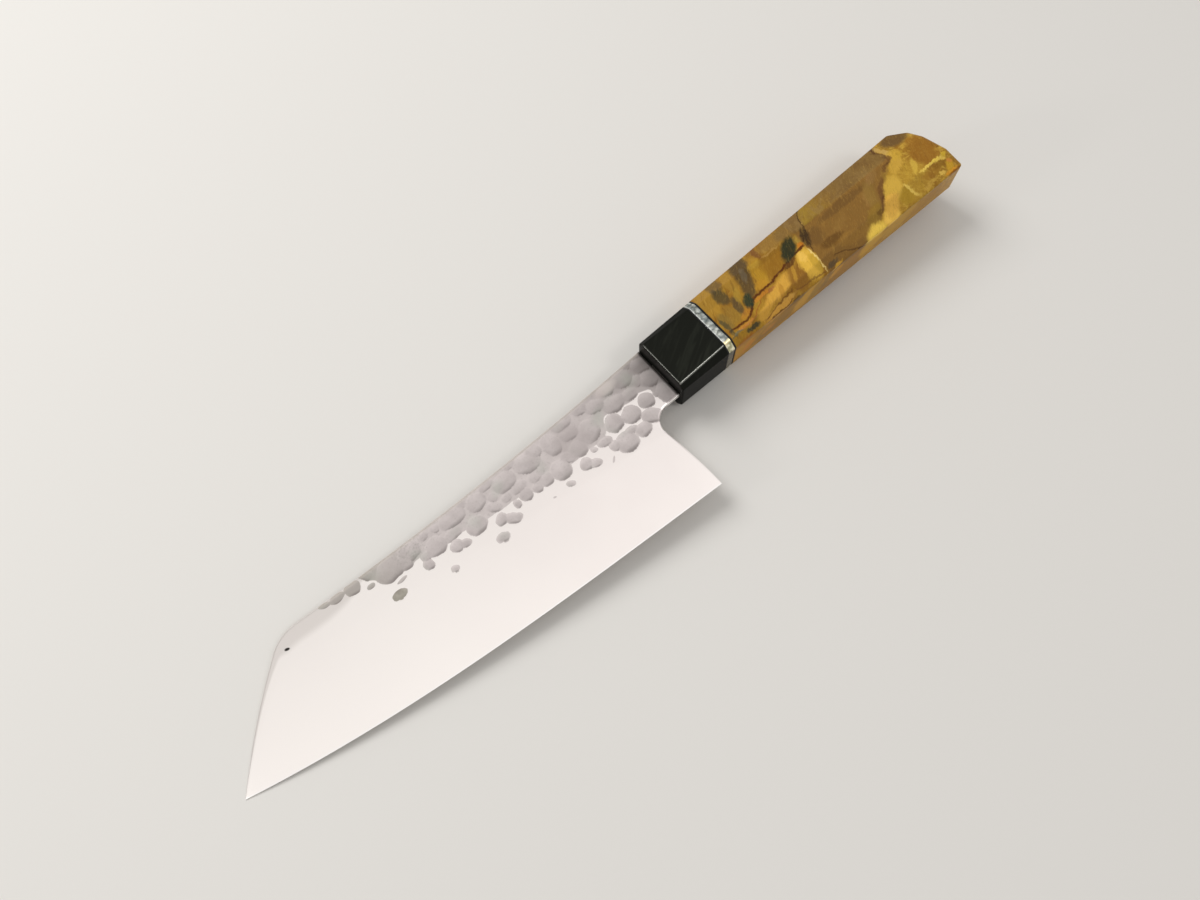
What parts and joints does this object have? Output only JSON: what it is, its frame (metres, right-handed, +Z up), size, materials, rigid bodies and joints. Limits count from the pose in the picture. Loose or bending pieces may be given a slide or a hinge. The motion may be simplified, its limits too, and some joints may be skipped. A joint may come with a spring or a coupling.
{
  "type": "santoku knife",
  "caption": "Kitchen knife with an angled-tip blade, hammered flats, hidden tang and an eight-sided two-tone handle.",
  "frame": {"origin": "middle of the bounding box, on the surface that the knife lies on", "axes": "+X along the knife from point to butt, +Y from cutting edge to spine, +Z up, square to the surface the knife lies on"},
  "size_m": [0.3072, 0.0536, 0.0247],
  "materials": {
    "blade_steel": "satin grind with a hammered grey upper zone",
    "black_horn": "polished",
    "black_fibre": "matte",
    "patterned_metal": "rippled, polished",
    "dyed_burl": "resin-filled and polished",
    "plain_wood": "bare",
    "clear_resin": "cast"
  },
  "bodies": {
    "root": {"blade": "blade_steel", "ferrule": "black_horn", "liner_front": "black_fibre", "spacer": "patterned_metal", "liner_rear": "black_fibre", "handle": "dyed_burl", "core_dowel": "plain_wood", "tang_bedding": "clear_resin"}
  },
  "joints": []
}
